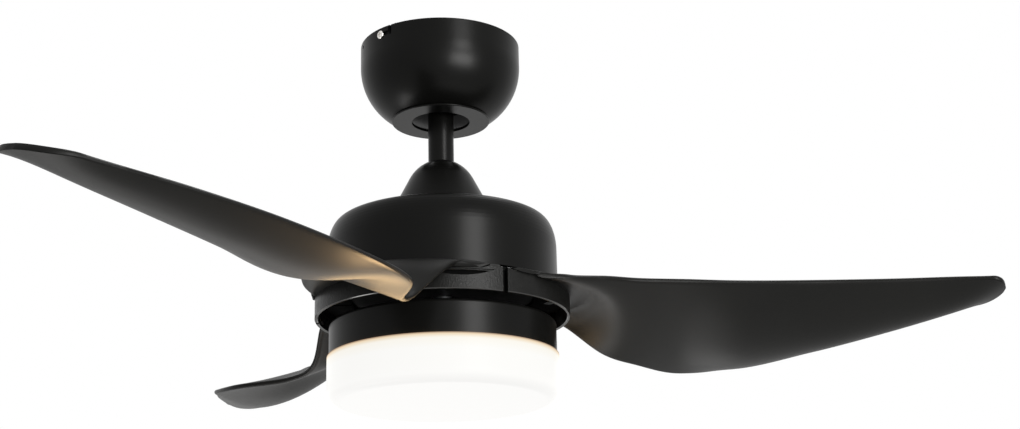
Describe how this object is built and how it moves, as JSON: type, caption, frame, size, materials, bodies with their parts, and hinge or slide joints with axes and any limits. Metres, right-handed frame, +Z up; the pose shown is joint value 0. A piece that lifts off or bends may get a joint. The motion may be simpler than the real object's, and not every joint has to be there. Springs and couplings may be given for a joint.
{
  "type": "ceiling fan with light",
  "caption": "Compact black ceiling fan with moulded scoop blades round a drum motor, a short downrod, a bowl canopy and a round opal light underneath.",
  "frame": {"origin": "centre of the ceiling bracket's top face, on the ceiling plane", "axes": "+Z up along the fan's axis, +X along one blade, +Y to the left of that blade seen from above"},
  "size_m": [0.8201, 0.9327, 0.3588],
  "materials": {
    "black_metal": "satin",
    "black_plastic": "matte",
    "zinc_steel": "satin",
    "bright_steel": "polished",
    "dark_steel": "satin",
    "cast_aluminium": "satin",
    "lamination_steel": "matte",
    "magnet": "matte",
    "copper_wire": "satin",
    "white_plastic": "matte",
    "opal_diffuser": "satin",
    "led_board": "matte",
    "led_phosphor": "satin",
    "green_screw": "satin"
  },
  "bodies": {
    "ceiling": {"ceiling_bracket": "zinc_steel", "seat_peg": "zinc_steel", "canopy": "black_metal", "canopy_trim_ring": "black_metal", "canopy_screws": "bright_steel", "remote_receiver": "white_plastic", "terminal_block": "white_plastic", "earth_screw": "green_screw"},
    "seat_liner": {"seat_liner": "white_plastic"},
    "hanging": {"hanger_ball": "black_plastic", "ball_pin": "zinc_steel", "downrod": "black_metal", "coupling_cover": "black_metal", "motor_yoke": "dark_steel", "yoke_pin": "zinc_steel", "cotter_clip": "bright_steel", "yoke_set_screws": "dark_steel", "motor_shaft": "zinc_steel", "shaft_circlip": "dark_steel", "motor_housing": "black_metal", "housing_screws": "zinc_steel", "stator_core": "lamination_steel", "stator_windings": "copper_wire", "light_plate": "zinc_steel", "shaft_nut": "zinc_steel", "light_pan": "black_metal", "pan_screws": "zinc_steel", "diffuser_catches": "zinc_steel", "led_driver": "white_plastic", "led_board": "led_board", "led_chips": "led_phosphor", "board_screws": "zinc_steel"},
    "rotor": {"rotor_upper_shell": "cast_aluminium", "rotor_lower_shell": "cast_aluminium", "shell_screws": "zinc_steel", "rotor_magnets": "magnet", "upper_bearing": "bright_steel", "lower_bearing": "bright_steel", "blade_1": "black_plastic", "blade_2": "black_plastic", "blade_3": "black_plastic", "blade_screws": "zinc_steel"},
    "diffuser": {"diffuser": "opal_diffuser"}
  },
  "joints": [
    {"name": "sway_a", "type": "hinge", "parent": "ceiling", "child": "seat_liner", "pos_m": [0, 0, -0.044], "axis": [0.6947, 0.7193, 0], "range_deg": [-14, 14]},
    {"name": "sway_b", "type": "hinge", "parent": "seat_liner", "child": "hanging", "pos_m": [0, 0, -0.044], "axis": [-0.7193, 0.6947, 0], "range_deg": [-14, 14]},
    {"name": "rotor_spin", "type": "hinge", "parent": "hanging", "child": "rotor", "pos_m": [0, 0, -0.267], "axis": [0, 0, 1], "continuous": true},
    {"name": "diffuser_twist", "type": "hinge", "parent": "hanging", "child": "diffuser", "pos_m": [0, 0, -0.312], "axis": [0, 0, 1], "range_deg": [0, 20]}
  ]
}
